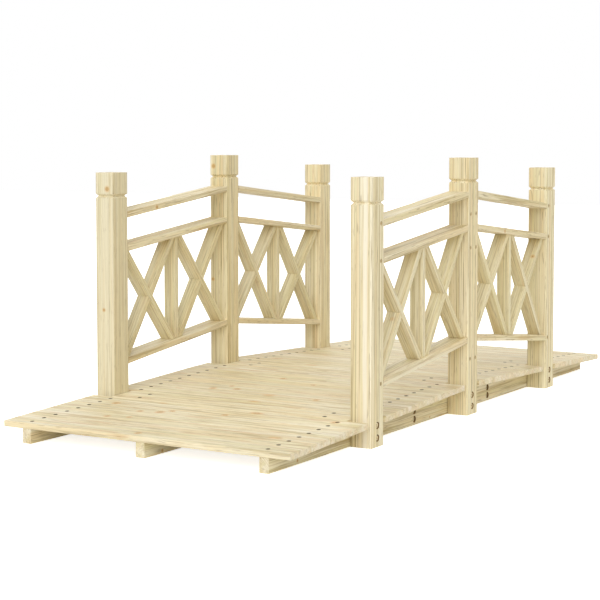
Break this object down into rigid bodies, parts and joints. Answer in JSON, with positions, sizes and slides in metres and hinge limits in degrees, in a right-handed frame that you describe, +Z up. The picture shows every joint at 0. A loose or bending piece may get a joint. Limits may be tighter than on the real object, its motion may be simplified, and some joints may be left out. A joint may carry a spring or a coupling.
{
  "type": "wooden moon bridge",
  "caption": "Small arched wooden garden bridge with a boarded deck on cut joists, grooved posts, sloping rails and crossed lattice panels.",
  "frame": {"origin": "on the ground under the middle of the deck, at the bottom centre of the bridge", "axes": "+X along the walkway, +Y across it, +Z up"},
  "size_m": [1.4982, 0.66, 0.55],
  "materials": {
    "deck_wood": "planed unfinished softwood, grain across the deck",
    "joist_wood": "planed unfinished softwood, grain along the bridge",
    "post_wood": "planed unfinished softwood with knots, upright grain",
    "rail_wood": "planed unfinished softwood, grain along each rail",
    "lattice_wood": "planed unfinished softwood, grain along each bar"
  },
  "bodies": {
    "root": {"deck_board_01": "deck_wood", "deck_board_02": "deck_wood", "deck_board_03": "deck_wood", "deck_board_04": "deck_wood", "deck_board_05": "deck_wood", "deck_board_06": "deck_wood", "deck_board_07": "deck_wood", "deck_board_08": "deck_wood", "deck_board_09": "deck_wood", "deck_board_10": "deck_wood", "deck_board_11": "deck_wood", "deck_board_12": "deck_wood", "deck_board_13": "deck_wood", "deck_board_14": "deck_wood", "deck_board_15": "deck_wood", "deck_board_16": "deck_wood", "deck_board_17": "deck_wood", "deck_board_18": "deck_wood", "deck_board_19": "deck_wood", "deck_board_20": "deck_wood", "deck_board_21": "deck_wood", "joist_left_near": "joist_wood", "joist_left_far": "joist_wood", "joist_middle_near": "joist_wood", "joist_middle_far": "joist_wood", "joist_right_near": "joist_wood", "joist_right_far": "joist_wood", "splice_left": "joist_wood", "splice_middle": "joist_wood", "splice_right": "joist_wood", "post_right_near": "post_wood", "post_right_centre": "post_wood", "post_right_far": "post_wood", "post_left_near": "post_wood", "post_left_centre": "post_wood", "post_left_far": "post_wood", "hand_rail_right_near": "rail_wood", "hand_rail_right_far": "rail_wood", "hand_rail_left_near": "rail_wood", "hand_rail_left_far": "rail_wood", "mid_rail_right_near": "rail_wood", "mid_rail_right_far": "rail_wood", "mid_rail_left_near": "rail_wood", "mid_rail_left_far": "rail_wood", "bottom_rail_right_near": "rail_wood", "bottom_rail_right_far": "rail_wood", "bottom_rail_left_near": "rail_wood", "bottom_rail_left_far": "rail_wood", "lattice_right_near": "lattice_wood", "lattice_right_far": "lattice_wood", "lattice_left_near": "lattice_wood", "lattice_left_far": "lattice_wood"}
  },
  "joints": []
}
